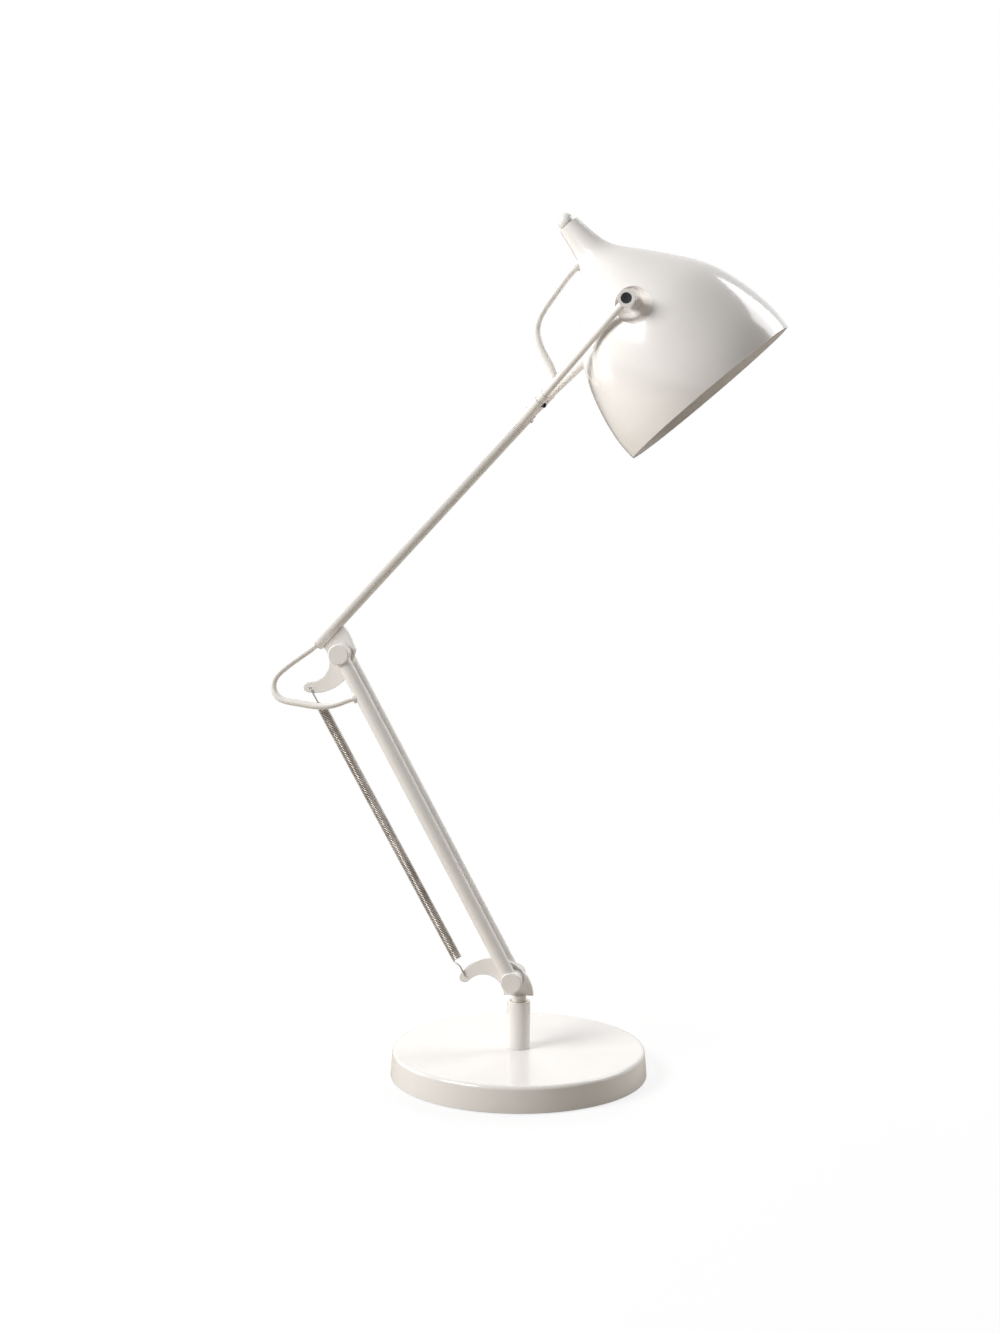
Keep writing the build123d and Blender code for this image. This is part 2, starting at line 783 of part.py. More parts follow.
# Shade pivots: a screw through each eye, a spacer behind it and a nut inside the bell
head_seat = eye_outer - eye_recess_depth + face_clearance
nut_face = dimple_depth - shade_wall
for side_name, outward in fork_sides:
    with BuildPart() as pivot_spacer:
        rod(
            cross_plane(shade_pivot + outward * dimple_depth, outward),
            spacer_diameter / 2,
            eye_inner - face_clearance - dimple_depth,
            screw_diameter / 2,
        )
    pivot_spacer.part.label = "pivot_spacer_" + side_name
    export_step(pivot_spacer.part, "parts/pivot_spacer_" + side_name + ".step")

    screw_foot = nut_face - nut_height - screw_end
    with BuildPart() as pivot_screw:
        rod(cross_plane(shade_pivot + outward * screw_foot, outward), screw_diameter / 2, head_seat - screw_foot)
        rod(cross_plane(shade_pivot + outward * head_seat, outward), screw_head_diameter / 2, screw_head_height)
        with BuildSketch(cross_plane(shade_pivot + outward * (head_seat + screw_head_height), -outward)):
            RegularPolygon(screw_socket_diameter / 2, 6, major_radius=False)
        extrude(amount=screw_socket_depth, mode=Mode.SUBTRACT)
    pivot_screw.part.label = "pivot_screw_" + side_name
    export_step(pivot_screw.part, "parts/pivot_screw_" + side_name + ".step")

    with BuildPart() as pivot_nut:
        with BuildSketch(cross_plane(shade_pivot + outward * nut_face, -outward)):
            RegularPolygon(nut_width / 2, 6, major_radius=False)
            Circle(screw_diameter / 2, mode=Mode.SUBTRACT)
        extrude(amount=nut_height)
    pivot_nut.part.label = "pivot_nut_" + side_name
    export_step(pivot_nut.part, "parts/pivot_nut_" + side_name + ".step")

# Neck of the shade: finial, plug and threaded nipple that carry the lampholder
plug_top = neck_end_height - plug_top_drop
plug_foot = plug_top - plug_length
finial_centre = neck_end_height + finial_lift
stem_foot = plug_top - finial_thread
with BuildPart() as finial_ball:
    with Locations(in_shade(finial_centre)):
        Sphere(finial_radius)
    rod(cross_plane(in_shade(stem_foot), shade_direction), finial_stem_diameter / 2, finial_centre - stem_foot)
finial_ball.part.label = "finial_ball"
export_step(finial_ball.part, "parts/finial_ball.step")

with BuildPart() as neck_plug:
    rod(cross_plane(in_shade(plug_foot), shade_direction), mouth_radius, plug_length)
    add(bell_inside.part, mode=Mode.INTERSECT)
    rod(cross_plane(in_shade(stem_foot), shade_direction), finial_stem_diameter / 2, plug_length, mode=Mode.SUBTRACT)
    rod(cross_plane(in_shade(plug_foot), shade_direction), nipple_diameter / 2, plug_thread, mode=Mode.SUBTRACT)
neck_plug.part.label = "neck_plug"
export_step(neck_plug.part, "parts/neck_plug.step")

nipple_foot = holder_top_height - nipple_thread
with BuildPart() as holder_nipple:
    rod(
        cross_plane(in_shade(nipple_foot), shade_direction),
        nipple_diameter / 2,
        plug_foot + plug_thread - nipple_foot,
        nipple_bore / 2,
    )
holder_nipple.part.label = "holder_nipple"
export_step(holder_nipple.part, "parts/holder_nipple.step")

holder_mouth = holder_top_height - holder_length
with BuildPart() as lampholder:
    rod(cross_plane(in_shade(holder_mouth), shade_direction), holder_diameter / 2, holder_length - holder_shoulder)
    with Locations(cross_plane(in_shade(holder_top_height - holder_shoulder), shade_direction)):
        Cone(
            holder_diameter / 2,
            nipple_diameter / 2 + shade_wall,
            holder_shoulder,
            align=(Align.CENTER, Align.CENTER, Align.MIN),
        )
    rod(
        cross_plane(in_shade(holder_mouth), shade_direction),
        holder_socket_diameter / 2,
        holder_socket_depth,
        mode=Mode.SUBTRACT,
    )
    rod(cross_plane(in_shade(nipple_foot), shade_direction), nipple_diameter / 2, holder_length, mode=Mode.SUBTRACT)
lampholder.part.label = "lampholder"
export_step(lampholder.part, "parts/lampholder.step")

cap_top = holder_mouth + holder_socket_depth
cap_foot = cap_top - bulb_cap_length
globe_centre = cap_top - bulb_length + bulb_radius
with BuildPart() as bulb_cap:
    rod(cross_plane(in_shade(cap_foot), shade_direction), bulb_cap_diameter / 2, bulb_cap_length)
bulb_cap.part.label = "bulb_cap"
export_step(bulb_cap.part, "parts/bulb_cap.step")

with BuildPart() as bulb_globe:
    with Locations(in_shade(globe_centre)):
        Sphere(bulb_radius)
    taper_foot = globe_centre + bulb_radius * math.cos(math.radians(bulb_taper_angle))
    with Locations(cross_plane(in_shade(taper_foot), shade_direction)):
        Cone(
            bulb_radius * math.sin(math.radians(bulb_taper_angle)),
            bulb_cap_diameter / 2,
            cap_foot - taper_foot,
            align=(Align.CENTER, Align.CENTER, Align.MIN),
        )
    rod(cross_plane(in_shade(cap_foot), shade_direction), bulb_cap_diameter / 2, bulb_cap_length, mode=Mode.SUBTRACT)
bulb_globe.part.label = "bulb_globe"
export_step(bulb_globe.part, "parts/bulb_globe.step")

# Cable gland in the side of the neck, and the lead inside it
gland_root = lead_offset + lead_diameter / 2
with BuildPart() as cable_gland:
    rod(cross_plane(in_shade(gland_height), shade_side), gland_flange_diameter / 2, gland_reach)
    chamfer(cable_gland.edges().filter_by(GeomType.CIRCLE).sort_by_distance(in_shade(gland_height))[-1], gland_chamfer)
    add(bell_outside.part, mode=Mode.SUBTRACT)
    rod(cross_plane(in_shade(gland_height, gland_root), shade_side), gland_diameter / 2, gland_reach - gland_root)
    rod(cross_plane(in_shade(gland_height), shade_side), cable_bore, gland_reach, mode=Mode.SUBTRACT)
cable_gland.part.label = "cable_gland"
export_step(cable_gland.part, "parts/cable_gland.step")

with BuildPart() as lamp_lead:
    rod(
        cross_plane(in_shade(holder_top_height, lead_offset), shade_direction),
        lead_diameter / 2,
        gland_height + lead_tail - holder_top_height,
    )
lamp_lead.part.label = "lamp_lead"
export_step(lamp_lead.part, "parts/lamp_lead.step")

# Cable runs inside the tubes
spigot_foot = seam_reach - spigot_length
block_end = seam_reach + block_length
with BuildPart() as upper_lead:
    rod(
        cross_plane(along_upper(-elbow_loop_inset), upper_direction),
        cable_radius,
        spigot_foot - face_clearance + elbow_loop_inset,
    )
upper_lead.part.label = "upper_lead"
export_step(upper_lead.part, "parts/upper_lead.step")

with BuildPart() as fork_lead:
    rod(cross_plane(along_upper(spigot_foot), upper_direction), cable_radius, spigot_length + block_length)
fork_lead.part.label = "fork_lead"
export_step(fork_lead.part, "parts/fork_lead.step")

# Cable loops: round the elbow, and from the fork to the shade
elbow_route = [
    along_upper(-elbow_loop_inset),
    along_upper(-elbow_loop_inset - elbow_loop_run),
    (-171.0, -1.0, 325.6),
    (-182.0, -2.5, 317.6),
    (-191.0, -4.2, 309.4),
    (-192.2, -5.8, 300.0),
    (-186.4, -7.4, 292.3),
    (-172.0, -8.8, 290.2),
    (-154.0, -9.7, 287.6),
    (-141.5, -9.7, 289.8),
    entry_point - entry_direction * entry_run,
    entry_point,
]
shade_route = [
    in_shade(gland_height, gland_root),
    in_shade(gland_height, gland_root + gland_loop_run),
    (25.5, 0.4, 602.8),
    (14.2, 0, 587.2),
    (10.6, 0, 575.5),
    (13.8, 0, 562.5),
    (22.5, 0, 547.5),
    (25.5, 0, 538.5),
    (20.5, 0, 529.7),
    along_upper(block_end + shade_loop_run),
    along_upper(block_end),
]


def bend_radii(route):
    """Return the largest arc that the two runs beside each point of a route leave room for."""
    points = [Vector(point) for point in route]
    radii = []
    for before, here, after in zip(points, points[1:], points[2:]):
        turn = math.radians((here - before).get_angle(after - here))
        shorter = min((here - before).length, (after - here).length)
        radii.append(bend_share * shorter / math.tan(turn / 2))
    return radii


loops = {}
for cable_name, route in (("elbow_cable", elbow_route), ("shade_cable", shade_route)):
    radii = bend_radii(route)
    with BuildPart() as cable_loop:
        with BuildLine() as cable_path:
            FilletPolyline(*route, radius=radii)
        with BuildSketch(Plane(origin=cable_path.line @ 0, z_dir=cable_path.line % 0)):
            Circle(cable_radius)
        sweep()
    cable_length = sum(edge.length for edge in cable_path.edges())
    section = math.pi * cable_radius**2
    print(cable_name, "length", round(cable_length, 1), "radii", [round(radius, 1) for radius in radii])
    print(cable_name, "volume over section times length", round(cable_loop.part.volume / section / cable_length, 4))
    loops[cable_name] = cable_loop.part
    cable_loop.part.label = cable_name
    export_step(cable_loop.part, "parts/" + cable_name + ".step")

with BuildPart() as lower_lead:
    rod(cross_plane(outlet_point, lower_direction), cable_radius, entry_reach - outlet_reach)
    add(loops["elbow_cable"], mode=Mode.SUBTRACT)
lower_lead.part.label = "lower_lead"
export_step(lower_lead.part, "parts/lower_lead.step")

# Tension spring between the two hook ends, with a bent hook through each plate
lower_hook = lower_plate_plane.from_local_coords((-hook_back, hook_rise))
upper_hook = upper_plate_plane.from_local_coords((-hook_back, hook_rise))
spring_length = (upper_hook - lower_hook).length
spring_direction = (upper_hook - lower_hook).normalized()
spring_side = spring_direction.cross(front)
coil_start = 90.0 + spring_lead_angle
coil_end = 360.0 * spring_turns + 90.0 - spring_lead_angle
coil_length = spring_length - spring_lower_lead - spring_upper_lead
coil_rise = coil_length / (coil_end - coil_start)
half_turns = 2 * spring_turns


def coil_point(angle):
    """Return the point of the coil at an angle, counted from the first turn."""
    across = spring_side * math.cos(math.radians(angle)) + front * math.sin(math.radians(angle))
    height = spring_lower_lead + coil_rise * (angle - coil_start)
    return lower_hook + across * spring_radius + spring_direction * height


def coil_tangent(angle):
    """Return the direction of the wire at an angle."""
    around = front * math.cos(math.radians(angle)) - spring_side * math.sin(math.radians(angle))
    return (around * spring_radius + spring_direction * math.degrees(coil_rise)).normalized()


def biarc(start, start_tangent, end, end_tangent):
    """Draw two arcs that meet smoothly, between two points with known directions."""
    chord = end - start
    both = start_tangent + end_tangent
    spread = 2 * (1 - start_tangent.dot(end_tangent))
    along = chord.dot(both)
    handle = (math.sqrt(along**2 + spread * chord.dot(chord)) - along) / spread
    first = start + start_tangent * handle
    second = end - end_tangent * handle
    middle = (first + second) * 0.5
    TangentArc(start, middle, tangent=start_tangent)
    TangentArc(middle, end, tangent=(second - first).normalized())


hook_run = spring_hook_front - spring_hook_bend
hook_tail = plate_thickness / 2 + spring_hook_tail
lower_tail = lower_hook - front * hook_tail
lower_bend = lower_hook + front * hook_run
lower_rise = lower_hook + front * spring_hook_front + spring_direction * spring_hook_bend
lower_top = lower_hook + front * spring_hook_front + spring_direction * (spring_lower_lead - spring_radius - spring_wire)
upper_tail = upper_hook - front * hook_tail
upper_bend = upper_hook + front * hook_run
upper_rise = upper_hook + front * spring_hook_front - spring_direction * spring_hook_bend
upper_top = upper_hook + front * spring_hook_front - spring_direction * (spring_upper_lead - spring_radius - spring_wire)
with BuildPart() as tension_spring:
    with BuildLine() as wire_path:
        Line(lower_tail, lower_bend)
        TangentArc(lower_bend, lower_rise, tangent=front)
        Line(lower_rise, lower_top)
        biarc(lower_top, spring_direction, coil_point(coil_start), coil_tangent(coil_start))
        for step in range(half_turns):
            begin = coil_start + (coil_end - coil_start) * step / half_turns
            finish = coil_start + (coil_end - coil_start) * (step + 1) / half_turns
            biarc(coil_point(begin), coil_tangent(begin), coil_point(finish), coil_tangent(finish))
        biarc(coil_point(coil_end), coil_tangent(coil_end), upper_top, spring_direction)
        Line(upper_top, upper_rise)
        TangentArc(upper_rise, upper_bend, tangent=spring_direction)
        Line(upper_bend, upper_tail)
    with BuildSketch(Plane(origin=lower_tail, z_dir=front)):
        Circle(spring_wire / 2)
    sweep()
tension_spring.part.label = "tension_spring"
export_step(tension_spring.part, "parts/tension_spring.step")

# Least gap between neighbouring turns of the spring, measured on points of the wire
spring_gaps = []
for angle in range(0, 360, 30):
    for further in range(180, 540, 10):
        apart = (coil_point(coil_start + angle + further) - coil_point(coil_start + angle)).length
        spring_gaps.append(apart - spring_wire)
print("tension_spring least gap to itself", round(min(spring_gaps), 2))
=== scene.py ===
"""Looks of the swing arm desk lamp: paint, cables, spring wire, light and camera."""
import json
import math

import bpy
from mathutils import Matrix, Vector


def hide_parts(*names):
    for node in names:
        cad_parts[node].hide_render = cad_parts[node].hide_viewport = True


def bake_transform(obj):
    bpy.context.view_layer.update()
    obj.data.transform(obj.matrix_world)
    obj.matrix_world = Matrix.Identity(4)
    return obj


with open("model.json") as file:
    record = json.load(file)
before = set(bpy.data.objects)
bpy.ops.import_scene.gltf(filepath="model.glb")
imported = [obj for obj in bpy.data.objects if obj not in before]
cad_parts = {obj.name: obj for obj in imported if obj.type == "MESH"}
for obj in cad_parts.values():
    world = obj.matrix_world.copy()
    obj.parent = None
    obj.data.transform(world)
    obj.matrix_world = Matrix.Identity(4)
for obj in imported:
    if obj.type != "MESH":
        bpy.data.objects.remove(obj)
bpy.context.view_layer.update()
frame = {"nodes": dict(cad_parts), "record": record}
scene = bpy.context.scene
scene.view_settings.view_transform = "Standard"

# Directions of the lamp at rest, in degrees from +X in the arm's plane
LOWER_ANGLE = 117.9
UPPER_ANGLE = 47.3
SHADE_ANGLE = 130.8
ENTRY_ANGLE = 17.7
# Turn of the fork round the upper tube's axis, in degrees
FORK_TURN = -1.55

# Lengths along the arm's parts and across them, in metres
LOWER_LENGTH = 0.286
UPPER_LIFT = 0.0187
SHADE_REACH = 0.3462
SHADE_DROP = 0.0026
MOUTH_DROP = 0.0869
ENTRY_HEIGHT = 0.25
ENTRY_FRONT = 0.009625
ENTRY_LEAD = 0.0109


def slope(angle):
    """Return the direction in the arm's plane that rises at an angle from +X."""
    return Vector((math.cos(math.radians(angle)), 0, math.sin(math.radians(angle))))


def turned(direction):
    """Return a direction turned with the fork, round the upper tube's axis."""
    return Matrix.Rotation(math.radians(FORK_TURN), 3, slope(UPPER_ANGLE)) @ direction


FRONT = Vector((0, -1, 0))
LOWER_PIVOT = Vector((-0.0045, 0, 0.0764))
ELBOW = LOWER_PIVOT + slope(LOWER_ANGLE) * LOWER_LENGTH
ENTRY = LOWER_PIVOT + slope(LOWER_ANGLE) * ENTRY_HEIGHT + FRONT * ENTRY_FRONT
UPPER_FOOT = ELBOW + slope(UPPER_ANGLE + 90) * UPPER_LIFT
SHADE_PIVOT = UPPER_FOOT + slope(UPPER_ANGLE) * SHADE_REACH - turned(slope(UPPER_ANGLE + 90)) * SHADE_DROP
SHADE_UP = turned(slope(SHADE_ANGLE))
SHADE_SIDE = turned(slope(SHADE_ANGLE + 90))
MOUTH = SHADE_PIVOT - SHADE_UP * MOUTH_DROP


def along_upper(reach):
    """Return a point on the upper tube's axis."""
    return UPPER_FOOT + slope(UPPER_ANGLE) * reach


def in_shade(height, reach):
    """Return a point in the shade, by its height above the mouth and its reach towards the arm."""
    return MOUTH + SHADE_UP * height + SHADE_SIDE * reach


# Camera, at the photograph's viewing angle, with its place in metres along its own axes
CAMERA_AZIMUTH = math.radians(7.135)
CAMERA_ELEVATION = math.radians(7.269)
CAMERA_ROLL = math.radians(0.188)
FOCAL_PIXELS = 2200.0
FRAME_HEIGHT = 1333.0
SENSOR = 36.0
CAMERA_BACK = 1.72178
CAMERA_LEFT = 0.014449
CAMERA_RISE = 0.318244

back = Vector(
    (
        math.sin(CAMERA_AZIMUTH) * math.cos(CAMERA_ELEVATION),
        -math.cos(CAMERA_AZIMUTH) * math.cos(CAMERA_ELEVATION),
        math.sin(CAMERA_ELEVATION),
    )
)
level = Vector((math.cos(CAMERA_AZIMUTH), math.sin(CAMERA_AZIMUTH), 0))
upright = back.cross(level)
right = level * math.cos(CAMERA_ROLL) + upright * math.sin(CAMERA_ROLL)
up = upright * math.cos(CAMERA_ROLL) - level * math.sin(CAMERA_ROLL)
camera_data = bpy.data.cameras.new("camera")
camera_data.sensor_width = SENSOR
camera_data.lens = FOCAL_PIXELS * SENSOR / FRAME_HEIGHT
camera = bpy.data.objects.new("camera", camera_data)
camera.matrix_world = Matrix((right, up, back)).transposed().to_4x4()
camera.location = back * CAMERA_BACK - right * CAMERA_LEFT + up * CAMERA_RISE
scene.collection.objects.link(camera)
scene.camera = camera

# Materials: scales of their noise, spreads of their roughness and heights of their bumps
NOISE_LOW = 0.3
NOISE_HIGH = 0.7
EDGE_SAMPLES = 6
PAINT_TINT_SCALE = 14.0
PAINT_SHEEN_SCALE = 60.0
PAINT_SHEEN_SPREAD = 0.06
PEEL_SCALE = 350.0
PEEL_HEIGHT = 0.000003
METAL_SHEEN_FINENESS = 4
METAL_SHEEN_SPREAD = 0.15
MARK_FINENESS = 8
MARK_HEIGHT = 0.000004
PLASTIC_TINT_SCALE = 40.0
PLASTIC_SHEEN_SCALE = 200.0
PLASTIC_SHEEN_SPREAD = 0.1
MOULD_SCALE = 500.0
GLASS_SHEEN_SCALE = 120.0


def new_material(name):
    """Return a material, its node tree and its principled shader."""
    material = bpy.data.materials.new(name)
    material.use_nodes = True
    tree = material.node_tree
    return material, tree, tree.nodes["Principled BSDF"]


def noise(tree, scale, detail=3.0):
    """Return the value of a noise texture in the part's own coordinates."""
    place = tree.nodes.new("ShaderNodeTexCoord")
    texture = tree.nodes.new("ShaderNodeTexNoise")
    texture.inputs["Scale"].default_value = scale
    texture.inputs["Detail"].default_value = detail
    tree.links.new(place.outputs["Object"], texture.inputs["Vector"])
    return texture.outputs["Fac"]


def spread(tree, value, low, high):
    """Map a noise value to a range."""
    node = tree.nodes.new("ShaderNodeMapRange")
    node.inputs["From Min"].default_value = NOISE_LOW
    node.inputs["From Max"].default_value = NOISE_HIGH
    node.inputs["To Min"].default_value = low
    node.inputs["To Max"].default_value = high
    tree.links.new(value, node.inputs["Value"])
    return node.outputs["Result"]


def tint(tree, value, dark, light):
    """Mix two colours by a noise value."""
    ramp = tree.nodes.new("ShaderNodeValToRGB")
    first, last = ramp.color_ramp.elements
    first.position = NOISE_LOW
    last.position = NOISE_HIGH
    first.color = (*dark, 1)
    last.color = (*light, 1)
    tree.links.new(value, ramp.inputs["Fac"])
    return ramp.outputs["Color"]


def rough_surface(tree, shader, value, distance, rounding=0.0):
    """Give a shader a bump of that height, over edges rounded by that radius."""
    bump = tree.nodes.new("ShaderNodeBump")
    bump.inputs["Distance"].default_value = distance
    tree.links.new(value, bump.inputs["Height"])
    if rounding:
        edge = tree.nodes.new("ShaderNodeBevel")
        edge.samples = EDGE_SAMPLES
        edge.inputs["Radius"].default_value = rounding
        tree.links.new(edge.outputs["Normal"], bump.inputs["Normal"])
    tree.links.new(bump.outputs["Normal"], shader.inputs["Normal"])


def paint(name, dark, light, roughness, rounding):
    """Return a gloss paint with a faint orange peel."""
    material, tree, shader = new_material(name)
    tree.links.new(tint(tree, noise(tree, PAINT_TINT_SCALE), dark, light), shader.inputs["Base Color"])
    sheen = spread(tree, noise(tree, PAINT_SHEEN_SCALE), roughness, roughness + PAINT_SHEEN_SPREAD)
    tree.links.new(sheen, shader.inputs["Roughness"])
    shader.inputs["Coat Weight"].default_value = 0.5
    shader.inputs["Coat Roughness"].default_value = 0.08
    rough_surface(tree, shader, noise(tree, PEEL_SCALE, detail=1.0), PEEL_HEIGHT, rounding)
    return material


def metal(name, dark, light, roughness, grain):
    """Return a bare metal with fine marks."""
    material, tree, shader = new_material(name)
    shader.inputs["Metallic"].default_value = 1.0
    tree.links.new(tint(tree, noise(tree, grain), dark, light), shader.inputs["Base Color"])
    sheen_noise = noise(tree, grain * METAL_SHEEN_FINENESS)
    sheen = spread(tree, sheen_noise, roughness, roughness + METAL_SHEEN_SPREAD)
    tree.links.new(sheen, shader.inputs["Roughness"])
    rough_surface(tree, shader, noise(tree, grain * MARK_FINENESS, detail=1.0), MARK_HEIGHT)
    return material


def plastic(name, dark, light, roughness, height, rounding=0.0002):
    """Return a moulded plastic, rubber or felt with a fine texture."""
    material, tree, shader = new_material(name)
    tree.links.new(tint(tree, noise(tree, PLASTIC_TINT_SCALE), dark, light), shader.inputs["Base Color"])
    sheen = spread(tree, noise(tree, PLASTIC_SHEEN_SCALE), roughness, roughness + PLASTIC_SHEEN_SPREAD)
    tree.links.new(sheen, shader.inputs["Roughness"])
    rough_surface(tree, shader, noise(tree, MOULD_SCALE, detail=1.0), height, rounding)
    return material


WHITE = (0.86, 0.83, 0.8)
WHITE_SHADE = (0.845, 0.812, 0.78)
white_paint = paint("white_paint", WHITE_SHADE, WHITE, roughness=0.2, rounding=0.0006)
smooth_paint = paint("smooth_paint", WHITE_SHADE, WHITE, roughness=0.18, rounding=0.0)
arm_paint = paint("arm_paint", WHITE_SHADE, WHITE, roughness=0.24, rounding=0.0)
spring_steel = metal("spring_steel", (0.3, 0.27, 0.24), (0.5, 0.46, 0.42), roughness=0.25, grain=90.0)
bright_steel = metal("bright_steel", (0.5, 0.5, 0.5), (0.62, 0.62, 0.62), roughness=0.3, grain=60.0)
brass = metal("brass", (0.5, 0.43, 0.32), (0.6, 0.53, 0.42), roughness=0.4, grain=60.0)
iron = metal("iron", (0.08, 0.08, 0.08), (0.14, 0.14, 0.14), roughness=0.55, grain=40.0)
black_steel = metal("black_steel", (0.03, 0.03, 0.035), (0.07, 0.07, 0.075), roughness=0.3, grain=80.0)
nylon = plastic("nylon", (0.78, 0.77, 0.74), (0.82, 0.81, 0.78), roughness=0.4, height=0.00002)
white_pvc = plastic(
    "white_pvc",
    (0.82, 0.79, 0.755),
    (0.85, 0.82, 0.79),
    roughness=0.32,
    height=0.000003,
    rounding=0.0,
)
holder_plastic = plastic(
    "holder_plastic",
    (0.76, 0.74, 0.7),
    (0.8, 0.78, 0.74),
    roughness=0.4,
    height=0.00003,
)
felt = plastic("felt", (0.03, 0.03, 0.03), (0.07, 0.07, 0.07), roughness=0.9, height=0.0003)
bulb_glass, glass_tree, glass_shader = new_material("bulb_glass")
glass_shader.inputs["Base Color"].default_value = (0.93, 0.92, 0.89, 1)
glass_shader.inputs["Transmission Weight"].default_value = 0.25
glass_sheen = spread(glass_tree, noise(glass_tree, GLASS_SHEEN_SCALE), low=0.35, high=0.45)
glass_tree.links.new(glass_sheen, glass_shader.inputs["Roughness"])

looks = {
    "white_paint": white_paint,
    "arm_paint": arm_paint,
    "spring_steel": spring_steel,
    "bright_steel": bright_steel,
    "black_steel": black_steel,
    "iron": iron,
    "felt": felt,
    "brass": brass,
    "nylon": nylon,
    "white_pvc": white_pvc,
    "holder_plastic": holder_plastic,
    "bulb_glass": bulb_glass,
}
ROUND_PIECES = ("fork_rod", "fork_ferrule", "finial_ball", "shade_shell")
for part in frame["record"]["subparts"]:
    look = looks[part["material_slot"]]
    if part["node"].startswith(ROUND_PIECES):
        look = smooth_paint
    if part["node"] == "cable_clamp_screw":
        look = bright_steel
    node = frame["nodes"][part["node"]]
    node.data.materials.clear()
    node.data.materials.append(look)


# Meshes of the cables and the spring
def mesh_object(name, vertices, faces, material):
    """Return a smooth mesh object in the scene."""
    mesh = bpy.data.meshes.new(name)
    mesh.from_pydata(vertices, [], faces)
    mesh.polygons.foreach_set("use_smooth", [True] * len(mesh.polygons))
    mesh.materials.append(material)
    piece = bpy.data.objects.new(name, mesh)
    scene.collection.objects.link(piece)
    return piece


def tube(name, line, radius, sides, material):
    """Return a round tube with closed ends along a line of points."""
    vertices = []
    faces = []
    side = (line[1] - line[0]).orthogonal()
    for index, point in enumerate(line):
        before = line[max(index - 1, 0)]
        after = line[min(index + 1, len(line) - 1)]
        tangent = (after - before).normalized()
        side = (side - tangent * side.dot(tangent)).normalized()
        other = tangent.cross(side)
        for step in range(sides):
            turn = 2 * math.pi * step / sides
            vertices.append(point + (side * math.cos(turn) + other * math.sin(turn)) * radius)
        if index:
            foot = (index - 1) * sides
            for step in range(sides):
                beside = (step + 1) % sides
                faces.append((foot + step, foot + beside, foot + sides + beside, foot + sides + step))
    last = len(vertices) - sides
    faces.append(tuple(reversed(range(sides))))
    faces.append(tuple(range(last, last + sides)))
    return mesh_object(name, vertices, faces, material)


def smooth_line(points, resolution):
    """Return points along the smooth spline that a route's points control."""
    data = bpy.data.curves.new("route", "CURVE")
    data.dimensions = "3D"
    data.resolution_u = resolution
    spline = data.splines.new("NURBS")
    spline.points.add(len(points) - 1)
    for control, point in zip(spline.points, points):
        control.co = (*point, 1)
    spline.order_u = 3
    spline.use_endpoint_u = True
    guide = bpy.data.objects.new("route", data)
    mesh = bpy.data.meshes.new_from_object(guide)
    line = [vertex.co.copy() for vertex in mesh.vertices]
    bpy.data.objects.remove(guide)
    bpy.data.curves.remove(data)
    bpy.data.meshes.remove(mesh)
    return line


# Cables: routes from end to end, through the tube's open end, the grommet, the gland and the fork block
CABLE_RADIUS = 0.0026
CABLE_SIDES = 24
ROUTE_RESOLUTION = 10
GLAND_HEIGHT = 0.1362
elbow_route = [
    along_upper(-0.003),
    along_upper(-0.012),
    Vector((-0.171, -0.001, 0.3256)),
    Vector((-0.182, -0.0025, 0.3176)),
    Vector((-0.191, -0.0042, 0.3094)),
    Vector((-0.1922, -0.0058, 0.3)),
    Vector((-0.1864, -0.0074, 0.2923)),
    Vector((-0.172, -0.0088, 0.2902)),
    Vector((-0.154, -0.0097, 0.2876)),
    Vector((-0.1415, -0.0097, 0.2898)),
    ENTRY - slope(ENTRY_ANGLE) * ENTRY_LEAD,
    ENTRY,
]
shade_route = [
    in_shade(GLAND_HEIGHT, 0.0103),
    in_shade(GLAND_HEIGHT, 0.0211),
    Vector((0.0255, 0.0004, 0.6028)),
    Vector((0.0142, 0, 0.5872)),
    Vector((0.0106, 0, 0.5755)),
    Vector((0.0138, 0, 0.5625)),
    Vector((0.0225, 0, 0.5475)),
    Vector((0.0255, 0, 0.5385)),
    Vector((0.0205, 0, 0.5297)),
    along_upper(0.2443),
    along_upper(0.2348),
]

for name, route, bodies in (
    ("elbow_cable", elbow_route, ("upper_arm", "lower_arm")),
    ("shade_cable", shade_route, ("shade", "fork")),
):
    line = smooth_line(route, ROUTE_RESOLUTION)
    cable = tube("cable_" + name, line, CABLE_RADIUS, CABLE_SIDES, white_pvc)
    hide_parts(name)
    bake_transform(cable)

# Spring: closely wound wire with a hook at each end, made as two halves that meet mid-coil
SPRING_RADIUS = 0.0034
SPRING_TURNS = 168
TURN_STEPS = 12
FIRST_DEGREES = 150
LAST_DEGREES = 30
WIRE_RADIUS = 0.0006
WIRE_SIDES = 8
HOOK_REACH = 0.0372
HOOK_RISE = 0.0012
HOOK_FRONT = 0.0035
HOOK_TAIL = 0.0044
HOOK_BEND = 0.0017
BEND_STEPS = 6
LOWER_LEAD = 0.014
UPPER_LEAD = 0.017
TURN_IN = 0.005
TURN_IN_SHARE = 0.6
BLEND_REACH = 0.045
lower_hook = LOWER_PIVOT + Vector((-HOOK_REACH, 0, HOOK_RISE))
upper_hook = ELBOW - slope(UPPER_ANGLE) * HOOK_REACH - slope(UPPER_ANGLE + 90) * HOOK_RISE
spring_length = (upper_hook - lower_hook).length
spring_axis = (upper_hook - lower_hook).normalized()
spring_side = spring_axis.cross(FRONT)


